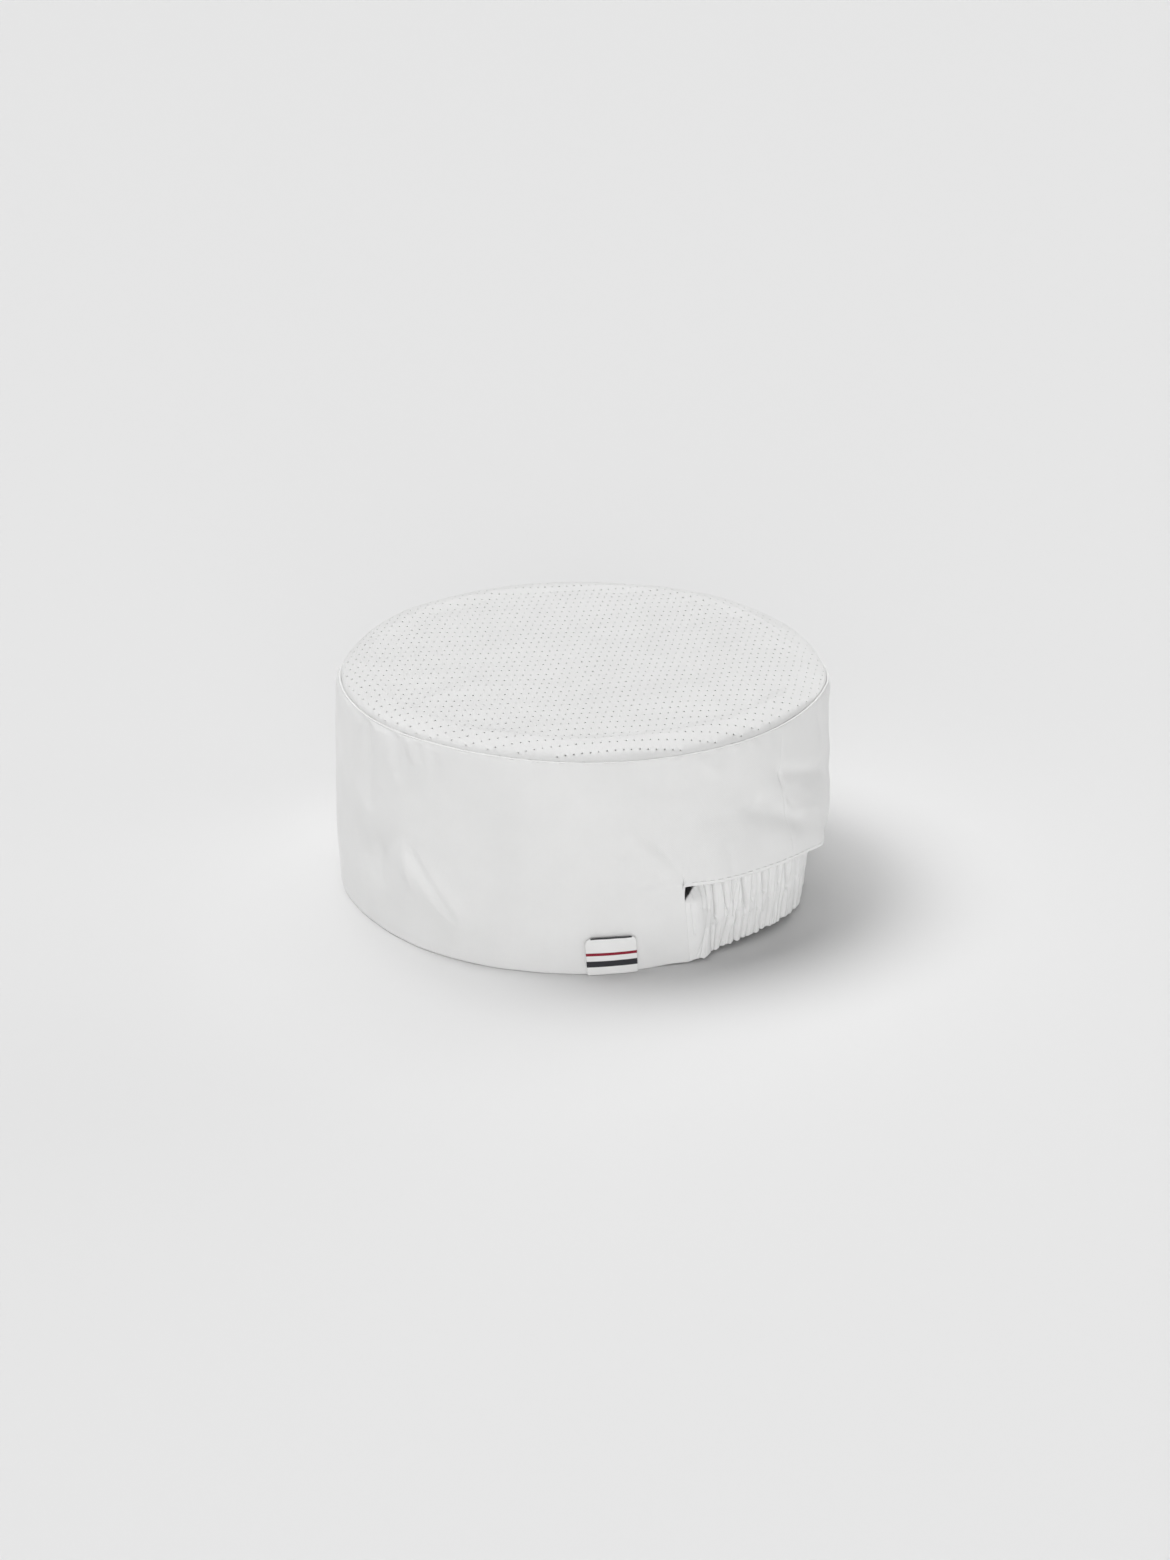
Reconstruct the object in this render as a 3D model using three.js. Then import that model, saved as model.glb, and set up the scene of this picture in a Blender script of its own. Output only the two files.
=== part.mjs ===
// A white cook's skull cap: a flat crown of pin-holed mesh set into a plain cloth side band, with
// a gathered elastic strip across a notch in the lower back and a small blank label on the edge.
// Millimetres, +Z up. The cap stands on its lower edge, and the back of the head is towards +Y.
// Every angle is in degrees about the cap's axis, from the back (+Y) round towards +X.

import * as THREE from 'three';

// Driving sizes
const axisY = -2.85; // the back flares out further than the front, so the axis sits forward
const bandWall = 1.6;
const crownWall = 1.4;
const stripWall = 1.5;
const labelWall = 0.8;
const seatGap = 0.35; // between a piece and the one that carries it

// Side band
const bandColumns = 120;
const notchHalfAngle = 27;
const notchLean = 3.1; // the notch's near side runs this many degrees inwards to the lower edge
const leanSpread = 15; // degrees either side of that edge over which the cloth follows it
const hemHeight = 32; // the band's edge above the notch
const seamHeight = 82.7; // where the crown meets the band, facing the label
const rollDepth = 8; // the band rolls inwards over this depth to the crown seam
const lastRoll = 2.2; // the part of the roll that turns over most
const rimThinning = 0.4; // share of the wall that the rolled edge loses

// Crown
const crownColumns = 80;
const crownHeight = 87.4;
const crestInset = 7; // from the seam in to where the mesh turns flat
const edgeFullness = 2.4; // a higher power makes the crown's edge squarer
const allowanceDepth = 9; // the mesh turned down inside the band
const seamTuck = 1; // the mesh is upright this far below the seam

// Elastic strip
const stripHalfAngle = 30;
const stripColumns = 96;
const pleatCount = 26;
const pleatDepth = 0.75;
const pleatLean = 1.2; // radians that the pleats move on by from the lower edge to the top
const scallop = 0.3; // the pleats' wave along the lower edge
const seatOverlap = 3; // the strip is seated this far below the hem
const seatAngle = 2; // and this many degrees before the notch's ends
const stripTop = 45; // where the strip is sewn to the inside of the band
const cornerDrop = 22; // the strip's top edge at its near corner
const cornerSlope = 2.5; // how fast that edge climbs, per degree

// Label
const labelAngle = 43.7;
const labelWidth = 18.6;
const labelHeight = 15.6;
const labelCorner = 2.4;
const labelStandOff = 0.6; // its free top edge stands away from the band
const labelColumns = 12;
const labelRows = 5;
const floorGap = 0.15;

// The band's outer radius up its height, before the notch, flare and folds.
const bandProfile = [
  { height: 0, radius: 94.2 },
  { height: 11, radius: 94.8 },
  { height: 22, radius: 95.3 },
  { height: 34, radius: 95.2 },
  { height: 52, radius: 94.7 },
  { height: 66, radius: 94.3 },
  { height: 84, radius: 93.9 },
];

// The rows of grid points up the band. A row with rise 1 follows the seam up and down.
const bandRows = [
  { height: 0, rise: 0 },
  { height: 8, rise: 0 },
  { height: 16, rise: 0 },
  { height: 24, rise: 0 },
  { height: hemHeight, rise: 0 },
  { height: 38, rise: 0.1 },
  { height: 44, rise: 0.2 },
  { height: 50, rise: 0.3 },
  { height: 55, rise: 0.4 },
  { height: 61, rise: 0.6 },
  { height: 69, rise: 0.8 },
  { height: seamHeight - rollDepth, rise: 1 },
  { height: seamHeight - lastRoll, rise: 1 },
  { height: seamHeight, rise: 1 },
];

// The crown seam round the cap: how far it stands above seamHeight, and how far the band's top
// has rolled in when it gets there.
const seamRound = [
  { angle: -180, rise: 0.4, rollIn: 1.2 },
  { angle: -110, rise: 0.4, rollIn: 1.2 },
  { angle: -70, rise: -0.6, rollIn: 2 },
  { angle: -50, rise: -1.2, rollIn: 2.8 },
  { angle: -38, rise: -0.6, rollIn: 1.8 },
  { angle: -24, rise: 1.2, rollIn: 1.3 },
  { angle: -10, rise: 1.2, rollIn: 1.2 },
  { angle: 10, rise: 0.4, rollIn: 0.9 },
  { angle: 50, rise: 0.1, rollIn: 0.8 },
  { angle: 80, rise: 0.7, rollIn: 0.8 },
  { angle: 105, rise: 0.4, rollIn: 1 },
  { angle: 124, rise: 0.7, rollIn: 1.3 },
  { angle: 139, rise: 0.4, rollIn: 1.9 },
  { angle: 152, rise: -0.8, rollIn: 2.4 },
  { angle: 180, rise: 0.4, rollIn: 1.2 },
];

// How far the elastic draws the band in: fully up to one height, and not at all past the other.
const drawIn = [
  { angle: -180, depth: 0, full: 0, gone: 60 },
  { angle: -132, depth: 0, full: 0, gone: 60 },
  { angle: -108, depth: 0.7, full: 4, gone: 55 },
  { angle: -85, depth: 4.1, full: 10, gone: 50 },
  { angle: -64, depth: 7.6, full: 14, gone: 46 },
  { angle: -40, depth: 11.4, full: 16, gone: 42 },
  { angle: -27, depth: 10.6, full: 15, gone: 42 },
  { angle: -14, depth: 6, full: 9, gone: 45 },
  { angle: 0, depth: 4.4, full: 5, gone: 50 },
  { angle: 26, depth: 3.3, full: 0, gone: 68 },
  { angle: 33, depth: 2.4, full: 0, gone: 66 },
  { angle: 41, depth: 0.9, full: 0, gone: 62 },
  { angle: 52, depth: 0, full: 0, gone: 60 },
  { angle: 88, depth: 0, full: 0, gone: 30 },
  { angle: 110, depth: 0.9, full: 0, gone: 26 },
  { angle: 132, depth: 0, full: 0, gone: 30 },
  { angle: 180, depth: 0, full: 0, gone: 60 },
];

// How far the band's hem stands out over the strip, round the back and down the height.
const flareRound = [
  { angle: -180, out: 0 },
  { angle: -52, out: 0 },
  { angle: -44, out: 1.3 },
  { angle: -38, out: 2.3 },
  { angle: -33, out: 2.9 },
  { angle: -27, out: 3.2 },
  { angle: -21, out: 3.9 },
  { angle: -16, out: 5 },
  { angle: -12, out: 6.8 },
  { angle: -9.5, out: 7.1 },
  { angle: -6.5, out: 6.9 },
  { angle: -2, out: 6.7 },
  { angle: 4, out: 5.8 },
  { angle: 10, out: 5.1 },
  { angle: 15, out: 5 },
  { angle: 20, out: 4.6 },
  { angle: 24, out: 3.1 },
  { angle: 28, out: 1.3 },
  { angle: 32, out: 0.2 },
  { angle: 37, out: 0 },
  { angle: 180, out: 0 },
];
const flareDown = [
  { height: 24, share: 1 },
  { height: 33, share: 1 },
  { height: 44, share: 0.66 },
  { height: 52, share: 0.28 },
  { height: 58, share: 0.02 },
  { height: 84, share: 0 },
];

// Folds in the band. Each runs straight from one angle and height to another: a ridge where out
// is positive and a hollow where it is negative, half as strong at its width from that line.
const bandFolds = [
  { name: 'front drape', angle: 95, height: 35, toAngle: 79, toHeight: 17, width: 5, out: 1.5 },
  { name: 'front dent', angle: 108, height: 27, toAngle: 97, toHeight: 37, width: 6, out: -1.5 },
  { name: 'left swell', angle: 122, height: 58, toAngle: 104, toHeight: 47, width: 9, out: 0.9 },
  { name: 'left pucker', angle: 108, height: 79, toAngle: 109, toHeight: 58, width: 3.5, out: -0.7 },
  { name: 'second pucker', angle: 94, height: 79, toAngle: 92, toHeight: 62, width: 3, out: -0.6 },
  { name: 'third pucker', angle: 85, height: 79, toAngle: 82, toHeight: 66, width: 3, out: -0.5 },
  { name: 'front pucker', angle: 33, height: 79, toAngle: 33, toHeight: 72, width: 3, out: -0.4 },
  { name: 'corner pull', angle: 41, height: 55, toAngle: 30, toHeight: 37, width: 3.5, out: 0.8 },
  { name: 'corner crease', angle: 38, height: 31, toAngle: 28, toHeight: 32, width: 2.5, out: 0.5 },
  { name: 'back tuck', angle: 8.5, height: 56, toAngle: -3, toHeight: 45, width: 3.5, out: -1.6 },
  { name: 'back wrinkle', angle: 1, height: 65, toAngle: -20, toHeight: 55, width: 3, out: -1.1 },
  { name: 'hem corner', angle: -9.5, height: 29, toAngle: -9.5, toHeight: 32, width: 4, out: 1.5 },
  { name: 'far side tuck', angle: -25, height: 47, toAngle: -62, toHeight: 40, width: 5, out: -1.5 },
  { name: 'far hem tuck', angle: -24, height: 39, toAngle: -46, toHeight: 38, width: 3.2, out: -1.3 },
  { name: 'far drape', angle: -88, height: 40, toAngle: -108, toHeight: 20, width: 6, out: 1.3 },
  { name: 'far hollow', angle: -120, height: 52, toAngle: -134, toHeight: 34, width: 8, out: -1.1 },
  { name: 'far side flat', angle: -40, height: 80, toAngle: -42, toHeight: 46, width: 28, out: -1.1 },
  { name: 'front hollow', angle: 168, height: 30, toAngle: 150, toHeight: 44, width: 9, out: -0.9 },
];

// Soft swells and hollows of the crown, by place from the axis.
const crownSwells = [
  { name: 'near flat', x: 40, y: -5, spread: 34, up: -0.7 },
  { name: 'left swell', x: 52, y: -52, spread: 26, up: 0.6 },
  { name: 'far hollow', x: -34, y: -18, spread: 30, up: -0.6 },
  { name: 'far shoulder', x: -66, y: 34, spread: 26, up: -0.6 },
  { name: 'back swell', x: 8, y: 58, spread: 24, up: 0.5 },
];

// The rows of grid points over the crown's edge and on to its middle. Inward is the share of
// the way from the seam to the crest, and tilt is how far the wall leans over.
const crownEdgeRows = [
  { inward: 0.02, tilt: 12 },
  { inward: 0.12, tilt: 38 },
  { inward: 0.32, tilt: 62 },
  { inward: 0.62, tilt: 80 },
  { inward: 1, tilt: 90 },
];
const crownTopShares = [0.78, 0.52, 0.26, 0];

// The strip's outer radius along its length at its lower edge and at the hem's height, with the
// height of its lower edge. The gathering lifts that edge in the middle.
const stripRun = [
  { angle: -30, low: 83.6, high: 87, lift: 0.2 },
  { angle: -24, low: 85.6, high: 89.4, lift: 0.2 },
  { angle: -16, low: 88.9, high: 92, lift: 0.4 },
  { angle: -4, low: 90.4, high: 92.8, lift: 2 },
  { angle: 8, low: 90.4, high: 92.8, lift: 2 },
  { angle: 20, low: 90.1, high: 92.2, lift: 0.8 },
  { angle: 26, low: 89, high: 91, lift: 0.2 },
  { angle: 30, low: 88.6, high: 90.6, lift: 0.2 },
];
const stripRows = [0, 0.22, 0.45, 0.7, 1];

const { clamp, degToRad, lerp, smoothstep } = THREE.MathUtils;

// One column of a table at x, on a smooth curve through its rows.
function tableValue(rows, by, name, x) {
  const last = rows.length - 1;
  const at = clamp(x, rows[0][by], rows[last][by]);
  let row = 0;
  while (row < last - 1 && rows[row + 1][by] < at) row += 1;
  const slopeAt = (k) => {
    const before = rows[Math.max(k - 1, 0)];
    const after = rows[Math.min(k + 1, last)];
    return (after[name] - before[name]) / (after[by] - before[by]);
  };
  const [start, end] = [rows[row], rows[row + 1]];
  const width = end[by] - start[by];
  const t = (at - start[by]) / width;
  const eased = t * t * (3 - 2 * t);
  const bend = slopeAt(row) * (1 - t) - slopeAt(row + 1) * t;
  return lerp(start[name], end[name], eased) + bend * width * t * (1 - t);
}

// An angle brought into -180 to 180.
function wrapped(angle) {
  return angle - 360 * Math.round(angle / 360);
}

function onCap(angle, radius, height) {
  const turn = degToRad(angle);
  return new THREE.Vector3(radius * Math.sin(turn), radius * Math.cos(turn) + axisY, height);
}

function seamAt(angle) {
  return seamHeight + tableValue(seamRound, 'angle', 'rise', wrapped(angle));
}

function rollInAt(angle) {
  return tableValue(seamRound, 'angle', 'rollIn', wrapped(angle));
}

// How far along the rolled edge a height is, from 0 below the roll to 1 at the seam.
function rollShare(angle, height) {
  return clamp((height - seamAt(angle) + rollDepth) / rollDepth, 0, 1);
}

// The sum of every fold at a point of the band, from its distance to each fold's line.
function foldOut(angle, height) {
  const arc = degToRad(bandProfile[0].radius);
  let out = 0;
  for (const fold of bandFolds) {
    const alongX = (fold.toAngle - fold.angle) * arc;
    const alongY = fold.toHeight - fold.height;
    const x = wrapped(angle - fold.angle) * arc;
    const y = height - fold.height;
    const share = clamp((x * alongX + y * alongY) / (alongX ** 2 + alongY ** 2), 0, 1);
    const away = Math.hypot(x - share * alongX, y - share * alongY) / fold.width;
    out += fold.out * 2 ** -(away ** 2);
  }
  return out;
}

function bandRadius(angle, height) {
  const at = wrapped(angle);
  const column = (name) => tableValue(drawIn, 'angle', name, at);
  const drawn = column('depth') * (1 - smoothstep(height, column('full'), column('gone')));
  const flareShare = tableValue(flareDown, 'height', 'share', height);
  const flare = tableValue(flareRound, 'angle', 'out', at) * flareShare;
  const roll = rollInAt(at) * (1 - Math.sqrt(1 - rollShare(angle, height) ** 2));
  const folds = foldOut(at, height) * (1 - rollShare(angle, height));
  return tableValue(bandProfile, 'height', 'radius', height) - drawn + flare - roll + folds;
}

function bandInnerRadius(angle, height) {
  const wall = bandWall * (1 - rimThinning * rollShare(angle, height));
  return bandRadius(angle, height) - wall;
}

// A closed cloth wall over a grid of cells. point(outer, i, j) places the grid's corners on the
// outer or inner face, has(i, j) says which cells there are, and a ring joins up along i. With i
// running clockwise seen from above and j upwards, the outer face points away from the axis.
function clothWall({ columns, rows, ring, has = () => true, point }) {
  const positions = [];
  const triangles = [];
  const known = new Map();
  const corner = (outer, i, j) => {
    const place = point(outer, ring ? (i + columns) % columns : i, j).toArray();
    const key = place.map((value) => value.toFixed(4)).join(' ');
    if (!known.has(key)) {
      known.set(key, known.size);
      positions.push(...place);
    }
    return known.get(key);
  };
  const triangle = (a, b, c) => {
    if (a !== b && b !== c && c !== a) triangles.push(a, b, c);
  };
  const quad = (a, b, c, d) => {
    triangle(a, b, c);
    triangle(a, c, d);
  };
  const filled = (i, j) => {
    if (j < 0 || j >= rows || (!ring && (i < 0 || i >= columns))) return false;
    return has((i + columns) % columns, j);
  };
  for (let i = 0; i < columns; i += 1) {
    for (let j = 0; j < rows; j += 1) {
      if (!filled(i, j)) continue;
      const around = [[i, j], [i, j + 1], [i + 1, j + 1], [i + 1, j]];
      const outer = around.map(([p, q]) => corner(true, p, q));
      const inner = around.map(([p, q]) => corner(false, p, q));
      quad(...outer);
      quad(...inner.toReversed());
      const neighbours = [[i - 1, j], [i, j + 1], [i + 1, j], [i, j - 1]];
      neighbours.forEach(([p, q], side) => {
        const next = (side + 1) % neighbours.length;
        if (!filled(p, q)) quad(outer[next], outer[side], inner[side], inner[next]);
      });
    }
  }
  const geometry = new THREE.BufferGeometry();
  geometry.setAttribute('position', new THREE.Float32BufferAttribute(positions, 3));
  geometry.setIndex(triangles);
  geometry.computeVertexNormals();
  return geometry;
}

// How far the notch's near side has run inwards at a height, in degrees.
function leanAt(height) {
  return notchLean * Math.max(1 - height / hemHeight, 0);
}

// The side band: a ring of cells with the notch's cells left out.
function sideBand() {
  const step = 360 / bandColumns;
  const notchCells = notchHalfAngle / step;
  const hemRow = bandRows.findIndex((row) => row.height === hemHeight);
  return clothWall({
    columns: bandColumns,
    rows: bandRows.length - 1,
    ring: true,
    has: (i, j) => j >= hemRow || (i >= notchCells && i < bandColumns - notchCells),
    point: (outer, i, j) => {
      const column = i * step;
      const height = bandRows[j].height + bandRows[j].rise * (seamAt(column) - seamHeight);
      const fromEdge = Math.abs(column - notchHalfAngle) / leanSpread;
      const angle = column - leanAt(height) * Math.max(1 - fromEdge, 0);
      return onCap(angle, (outer ? bandRadius : bandInnerRadius)(angle, height), height);
    },
  });
}

function crownTop(x, y) {
  let height = crownHeight;
  for (const swell of crownSwells) {
    height += swell.up * 2 ** -(((x - swell.x) ** 2 + (y - swell.y) ** 2) / swell.spread ** 2);
  }
  return height;
}

// The mesh crown: a flat top with a full edge that dips to the seam and turns down inside the band.
function meshCrown() {
  const rimAt = (angle) => bandInnerRadius(angle, seamAt(angle)) - seatGap;
  const allowanceRows = [
    { inward: 0, drop: allowanceDepth, tilt: 0 },
    { inward: 0, drop: seamTuck, tilt: 0 },
  ];
  const topRows = crownTopShares.map((share) => ({ inward: 1, share, tilt: 90 }));
  const rows = [...allowanceRows, ...crownEdgeRows, ...topRows];
  return clothWall({
    columns: crownColumns,
    rows: rows.length - 1,
    ring: true,
    point: (outer, i, j) => {
      const angle = (i * 360) / crownColumns;
      const { inward, drop, share = 1, tilt } = rows[j];
      const rim = rimAt(angle);
      const radius = lerp(rim, rim - crestInset, inward) * share;
      const turn = degToRad(angle);
      const top = crownTop(radius * Math.sin(turn), radius * Math.cos(turn));
      const rise = Math.sqrt(1 - (1 - inward) ** edgeFullness);
      const height = drop ? seamAt(angle) - drop : lerp(seamAt(angle), top, rise);
      const inset = outer ? 0 : crownWall * Math.cos(degToRad(tilt));
      const lowered = outer ? 0 : crownWall * Math.sin(degToRad(tilt));
      return onCap(angle, radius - inset, height - lowered);
    },
  });
}

// The pleats' wave along the strip. A slow and a quick drift, each with its size in radians and
// its rate along the strip, make the pleats uneven in width.
const slowDrift = { size: 0.9, rate: 9 };
const quickDrift = { size: 0.5, rate: 23 };
function pleatWave(angle, share) {
  const turn = degToRad(angle);
  const slow = slowDrift.size * Math.sin(turn * slowDrift.rate);
  const quick = quickDrift.size * Math.sin(turn * quickDrift.rate + 2 * share);
  const evenPhase = (angle / (2 * stripHalfAngle)) * pleatCount * 2 * Math.PI;
  return Math.sin(evenPhase + slow + quick + pleatLean * share);
}

// The gathered strip: it runs on behind the notch's ends, leans out to the band and is seated
// there, and its top edge falls away at the near corner.
function elasticStrip() {
  const topAt = (angle) => {
    const climb = cornerDrop + Math.max(notchHalfAngle - angle, 0) * cornerSlope;
    return Math.min(stripTop, climb);
  };
  return clothWall({
    columns: stripColumns,
    rows: stripRows.length - 1,
    ring: false,
    point: (outer, i, j) => {
      const angle = lerp(-stripHalfAngle, stripHalfAngle, i / stripColumns);
      const share = stripRows[j];
      const wave = pleatWave(angle, share);
      const foot = tableValue(stripRun, 'angle', 'lift', angle) + scallop * (1 + wave);
      const height = lerp(foot, topAt(angle), share);
      const low = tableValue(stripRun, 'angle', 'low', angle);
      const high = tableValue(stripRun, 'angle', 'high', angle);
      const leaning = low + ((high - low) * height) / hemHeight + pleatDepth * wave;
      const seat = bandInnerRadius(angle, height) - 2 * seatGap;
      const pastHem = height > hemHeight - seatOverlap;
      const pastEnd = angle > notchHalfAngle - leanAt(height) - seatAngle;
      const pastFarEnd = angle < seatAngle - notchHalfAngle;
      const radius = pastHem || pastEnd || pastFarEnd ? Math.min(leaning, seat) : leaning;
      return onCap(angle, outer ? radius : radius - stripWall, height);
    },
  });
}

// The blank label: a small folded tab on the band's lower edge, with its top corners rounded.
function edgeLabel() {
  return clothWall({
    columns: labelColumns,
    rows: labelRows,
    ring: false,
    point: (outer, i, j) => {
      const along = lerp(-labelWidth / 2, labelWidth / 2, i / labelColumns);
      const pastCorner = clamp(1 - (labelWidth / 2 - Math.abs(along)) / labelCorner, 0, 1);
      const top = labelHeight - labelCorner * (1 - Math.sqrt(1 - pastCorner ** 2));
      const share = j / labelRows;
      const height = lerp(floorGap, top, share);
      const angle = labelAngle + along / degToRad(bandProfile[0].radius);
      const seat = bandRadius(angle, height) + seatGap + labelStandOff * share ** 2;
      return onCap(angle, outer ? seat + labelWall : seat, height);
    },
  });
}

function piece(name, geometry, color, roughness) {
  const material = new THREE.MeshStandardMaterial({ color, roughness, metalness: 0 });
  const mesh = new THREE.Mesh(geometry, material);
  mesh.name = name;
  return mesh;
}

const cap = new THREE.Group();
cap.name = 'skull_cap';
cap.add(
  piece('side_band', sideBand(), '#f1f1f0', 0.85),
  piece('crown_mesh', meshCrown(), '#eeeeed', 0.8),
  piece('elastic_strip', elasticStrip(), '#efefee', 0.9),
  piece('edge_label', edgeLabel(), '#f4f4f2', 0.75),
);

export default cap;
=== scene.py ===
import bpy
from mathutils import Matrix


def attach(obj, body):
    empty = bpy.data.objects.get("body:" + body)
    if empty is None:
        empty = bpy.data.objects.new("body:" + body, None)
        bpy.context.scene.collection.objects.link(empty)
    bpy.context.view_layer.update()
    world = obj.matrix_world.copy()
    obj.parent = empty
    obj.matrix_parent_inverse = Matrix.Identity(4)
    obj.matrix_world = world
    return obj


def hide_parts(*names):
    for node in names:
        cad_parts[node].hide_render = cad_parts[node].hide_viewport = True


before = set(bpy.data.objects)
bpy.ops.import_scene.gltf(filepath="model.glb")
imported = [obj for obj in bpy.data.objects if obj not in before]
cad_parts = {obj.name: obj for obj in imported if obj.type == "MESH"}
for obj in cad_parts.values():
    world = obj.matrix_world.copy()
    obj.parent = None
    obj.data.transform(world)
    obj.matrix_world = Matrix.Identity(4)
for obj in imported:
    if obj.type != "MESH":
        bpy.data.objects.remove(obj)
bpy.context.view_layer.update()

import math

import bpy
import numpy as np
from mathutils import Vector

# The shape tables are in millimetres, and every mesh is scaled to metres as it is made. Angles
# are in degrees about the cap's axis, from the back (+Y) round towards +X.
toMetres = 0.001
axisY = -2.85
seamHeight = 82.7
hemHeight = 32.0
notchHalfAngle = 27.0
notchLean = 3.1
leanSpread = 15.0
rollDepth = 8.0
arcPerDegree = math.radians(94.2)

bandProfile = {
    "height": [0, 11, 22, 34, 52, 66, 84],
    "radius": [94.2, 94.8, 95.3, 95.2, 94.7, 94.3, 93.9],
}
seamRound = {
    "angle": [-180, -110, -70, -50, -38, -24, -10, 10, 50, 80, 105, 124, 139, 152, 180],
    "rise": [0.4, 0.4, -0.6, -1.2, -0.6, 1.2, 1.2, 0.4, 0.1, 0.7, 0.4, 0.7, 0.4, -0.8, 0.4],
    "rollIn": [1.2, 1.2, 2, 2.8, 1.8, 1.3, 1.2, 0.9, 0.8, 0.8, 1, 1.3, 1.9, 2.4, 1.2],
}
drawIn = {
    "angle": [-180, -132, -108, -85, -64, -40, -27, -14, 0, 26, 33, 41, 52, 88, 110, 132, 180],
    "depth": [0, 0, 0.7, 4.1, 7.6, 11.4, 10.6, 6, 4.4, 3.3, 2.4, 0.9, 0, 0, 0.9, 0, 0],
    "full": [0, 0, 4, 10, 14, 16, 15, 9, 5, 0, 0, 0, 0, 0, 0, 0, 0],
    "gone": [60, 60, 55, 50, 46, 42, 42, 45, 50, 68, 66, 62, 60, 30, 26, 30, 60],
}
flareRound = {
    "angle": [-180, -52, -44, -38, -33, -27, -21, -16, -12, -9.5, -6.5]
    + [-2, 4, 10, 15, 20, 24, 28, 32, 37, 180],
    "out": [0, 0, 1.3, 2.3, 2.9, 3.2, 3.9, 5, 6.8, 7.1, 6.9]
    + [6.7, 5.8, 5.1, 5, 4.6, 3.1, 1.3, 0.2, 0, 0],
}
flareDown = {"height": [24, 33, 44, 52, 58, 84], "share": [1, 1, 0.66, 0.28, 0.02, 0]}
stripRun = {
    "angle": [-30, -24, -16, -4, 8, 20, 26, 30],
    "low": [83.6, 85.6, 88.9, 90.4, 90.4, 90.1, 89, 88.6],
    "high": [87, 89.4, 92, 92.8, 92.8, 92.2, 91, 90.6],
    "lift": [0.2, 0.2, 0.4, 2, 2, 0.8, 0.2, 0.2],
}

# Folds as straight lines from (angle, height) to (toAngle, toHeight): angle, height, toAngle,
# toHeight, width, out. The first rows are the solid model's, the others are finer creases.
bandFolds = [
    (95, 35, 79, 17, 5, 1.5),
    (108, 27, 97, 37, 6, -1.5),
    (122, 58, 104, 47, 9, 0.9),
    (108, 79, 109, 58, 3.5, -0.7),
    (94, 79, 92, 62, 3, -0.6),
    (85, 79, 82, 66, 3, -0.5),
    (33, 79, 33, 72, 3, -0.4),
    (41, 55, 30, 37, 3.5, 0.8),
    (38, 31, 28, 32, 2.5, 0.5),
    (8.5, 56, -3, 45, 3.5, -1.6),
    (1, 65, -20, 55, 3, -1.1),
    (-9.5, 29, -9.5, 32, 4, 1.5),
    (-25, 47, -62, 40, 5, -1.5),
    (-24, 39, -46, 38, 3.2, -1.3),
    (-88, 40, -108, 20, 6, 1.3),
    (-120, 52, -134, 34, 8, -1.1),
    (-40, 80, -42, 46, 28, -1.1),
    (168, 30, 150, 44, 9, -0.9),
]
bandCreases = [
    (107.5, 80, 105.8, 52, 2.6, -0.9),
    (111, 78, 110.5, 66, 2.0, 0.4),
    (103, 80, 102, 60, 2.2, 0.45),
    (99.5, 84, 99, 70, 2.2, 0.5),
    (96.6, 83, 95.4, 67, 1.5, -0.75),
    (92.6, 83, 91, 75, 1.3, 0.55),
    (89, 82, 88.6, 75, 0.9, -0.55),
    (86.2, 82, 86, 78, 1.0, 0.25),
    (84.8, 78, 84.8, 64, 1.3, -0.35),
    (103, 33, 102, 22, 3.5, -0.8),
    (94, 40, 91, 25, 2.2, 0.5),
    (91, 38, 80, 18, 1.5, -0.75),
    (88, 38, 77.5, 20, 2.0, 0.35),
    (37.9, 54, 33.4, 48.5, 1.2, -0.15),
    (33.4, 48.5, 27.5, 35, 1.0, -0.2),
    (36, 32.5, 28.2, 33, 0.9, 0.22),
    (36, 29.5, 28.5, 31, 1.0, -0.2),
    (23, 79, 20, 74, 2.2, 0.45),
    (17.6, 44, 16.8, 36, 1.4, -0.3),
    (13, 62, 9, 54, 5.0, -0.4),
    (-1, 65.5, -19, 54.5, 1.8, -0.35),
    (9.5, 57.5, 6, 54, 2.5, 0.7),
    (-3.5, 60, -9, 54, 3.0, 0.55),
    (0.3, 64.5, -0.3, 60.5, 1.1, -0.5),
    (-1.6, 53.5, -3, 51, 1.0, -0.35),
    (-5.5, 49, -7, 48.6, 1.4, 0.3),
    (-9.2, 47.8, -10.5, 47.2, 1.3, 0.3),
    (-3, 45, -17, 38, 2.6, -0.55),
    (-17, 80, -21, 70, 2.5, -0.7),
]
crownSwells = {
    "x": [40, 52, -34, -66, 8],
    "y": [-5, -52, -18, 34, 58],
    "spread": [34, 26, 30, 26, 24],
    "up": [-0.7, 0.6, -0.6, -0.6, 0.5],
}
# Slight creases of the crown: x, y, toX, toY, width, up.
crownCreases = [
    (80, -12, 62, -15, 3.0, 0.5),
    (62, -15, 48, -10, 4.0, 0.35),
    (66, -24, 50, -22, 5.0, -0.4),
    (-64, -7, -56, 12, 5.0, -0.5),
    (-66, -26, -60, -14, 5.0, 0.35),
    (-54, 72, -34, 86, 9.0, -2.3),
    (-52, 62, -40, 66, 4.0, 0.5),
]


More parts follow.
